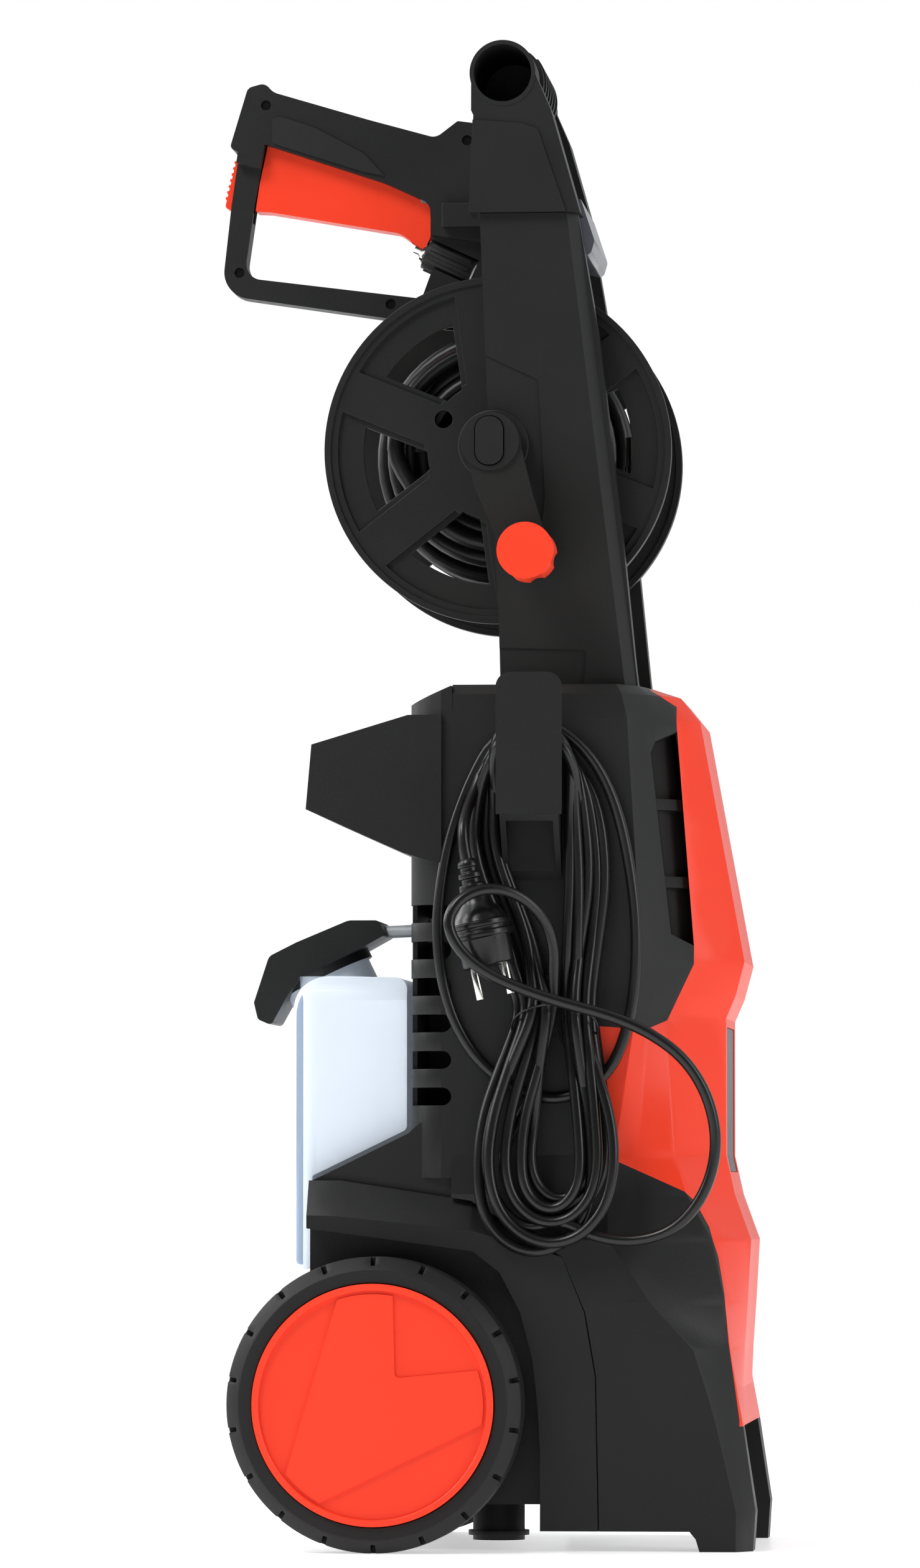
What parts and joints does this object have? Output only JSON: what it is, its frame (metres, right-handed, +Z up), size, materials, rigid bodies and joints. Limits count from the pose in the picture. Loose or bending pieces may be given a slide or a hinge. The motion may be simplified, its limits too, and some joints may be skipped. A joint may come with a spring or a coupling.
{
  "type": "pressure washer",
  "caption": "Upright electric pressure washer on wheels with hose reel, crank, spray gun, detergent bottle, front cover and mains cord on a hook.",
  "frame": {"origin": "on the floor, under the middle of the machine without its mains cord", "axes": "+Z up, -Y towards the front cover, -X towards the crank and the mains cord"},
  "size_m": [0.35, 0.3395, 0.9337],
  "materials": {
    "housing_black": "fine textured satin",
    "vent_black": "matte",
    "cover_orange": "satin, fine grained",
    "badge_grey": "smooth",
    "bar_grey": "semi-gloss",
    "tyre_rubber": "matt moulded",
    "grip_rubber": "soft touch",
    "steel": "zinc plated",
    "chrome": "polished",
    "aluminium": "cast",
    "brass": "machined",
    "bottle_plastic": "translucent, milky",
    "tube_clear": "clear",
    "hose_rubber": "smooth",
    "cord_rubber": "smooth sheath"
  },
  "bodies": {
    "root": {"rear_housing": "housing_black", "front_housing": "housing_black", "front_cover": "cover_orange", "front_badge": "badge_grey", "vent_grilles": "vent_black", "fender_left": "housing_black", "fender_right": "housing_black", "upright_left": "housing_black", "upright_right": "housing_black", "handle_top": "housing_black", "grip_insert": "grip_rubber", "cross_bar": "bar_grey", "gun_cradle": "housing_black", "reel_bushes": "housing_black", "cord_hook": "housing_black", "accessory_pocket": "housing_black", "axle": "steel", "bottle_port": "housing_black", "motor": "aluminium", "pump_body": "aluminium", "pump_head": "brass", "switch_box": "housing_black", "capacitor": "aluminium", "outlet_pipe": "brass", "water_inlet": "housing_black", "cord_hank": "cord_rubber", "cord_gland": "cord_rubber", "cord_plug": "cord_rubber", "plug_pins": "chrome", "cord_loop": "cord_rubber", "cord_end": "cord_rubber"},
    "wheel_left": {"tyre_left": "tyre_rubber", "rim_left": "housing_black", "wheel_cover_left": "cover_orange"},
    "wheel_right": {"tyre_right": "tyre_rubber", "rim_right": "housing_black", "wheel_cover_right": "cover_orange"},
    "reel": {"reel_drum": "housing_black", "reel_flange_left": "housing_black", "reel_flange_right": "housing_black", "reel_hose": "hose_rubber", "hose_fitting": "chrome", "crank_arm": "housing_black", "crank_insert": "housing_black"},
    "knob": {"crank_knob": "cover_orange"},
    "gun": {"gun_shell_left": "housing_black", "gun_shell_right": "housing_black", "gun_grip_inserts": "grip_rubber", "gun_screws": "steel", "gun_pins": "steel", "gun_barrel": "housing_black", "gun_nipple": "chrome"},
    "trigger": {"gun_trigger": "cover_orange"},
    "lock": {"gun_lock": "cover_orange"},
    "collar": {"gun_collar": "housing_black"},
    "bottle": {"bottle": "bottle_plastic"},
    "cap": {"bottle_cap": "housing_black", "suction_tube": "tube_clear"},
    "switch": {"power_switch": "housing_black"},
    "fan": {"motor_fan": "housing_black"}
  },
  "joints": [
    {"name": "wheel_left_spin", "type": "hinge", "parent": "root", "child": "wheel_left", "pos_m": [-0.15, 0.0592, 0.09], "axis": [1, 0, 0], "continuous": true},
    {"name": "wheel_right_spin", "type": "hinge", "parent": "root", "child": "wheel_right", "pos_m": [0.15, 0.0592, 0.09], "axis": [1, 0, 0], "continuous": true},
    {"name": "reel_spin", "type": "hinge", "parent": "root", "child": "reel", "pos_m": [0, -0.0083, 0.6813], "axis": [1, 0, 0], "continuous": true},
    {"name": "knob_spin", "type": "hinge", "parent": "reel", "child": "knob", "pos_m": [-0.145, -0.033, 0.6105], "axis": [1, 0, 0], "continuous": true},
    {"name": "gun_slide", "type": "slide", "parent": "root", "child": "gun", "axis": [0, 1, 0], "range_m": [0, 0.16]},
    {"name": "trigger_pull", "type": "hinge", "parent": "gun", "child": "trigger", "pos_m": [0, 0.042, 0.845], "axis": [1, 0, 0], "range_deg": [0, 6], "stiffness_Nm_per_rad": 0.6, "springref_deg": -14.32},
    {"name": "lock_turn", "type": "hinge", "parent": "gun", "child": "lock", "pos_m": [0, 0.1575, 0.857], "axis": [1, 0, 0], "range_deg": [0, 10]},
    {"name": "collar_turn", "type": "hinge", "parent": "gun", "child": "collar", "pos_m": [0, 0.0265, 0.806], "axis": [0, 0.9063, 0.4226], "continuous": true},
    {"name": "bottle_slide", "type": "slide", "parent": "root", "child": "bottle", "axis": [0, 1, 0], "range_m": [0, 0.12]},
    {"name": "cap_lift", "type": "slide", "parent": "bottle", "child": "cap", "axis": [0, 0.4337, 0.9011], "range_m": [0, 0.03]},
    {"name": "switch_turn", "type": "hinge", "parent": "root", "child": "switch", "pos_m": [0, -0.058, 0.54], "axis": [0, 0, 1], "range_deg": [0, 90]},
    {"name": "fan_spin", "type": "hinge", "parent": "root", "child": "fan", "pos_m": [0, -0.045, 0.447], "axis": [0, 0, 1], "continuous": true}
  ]
}
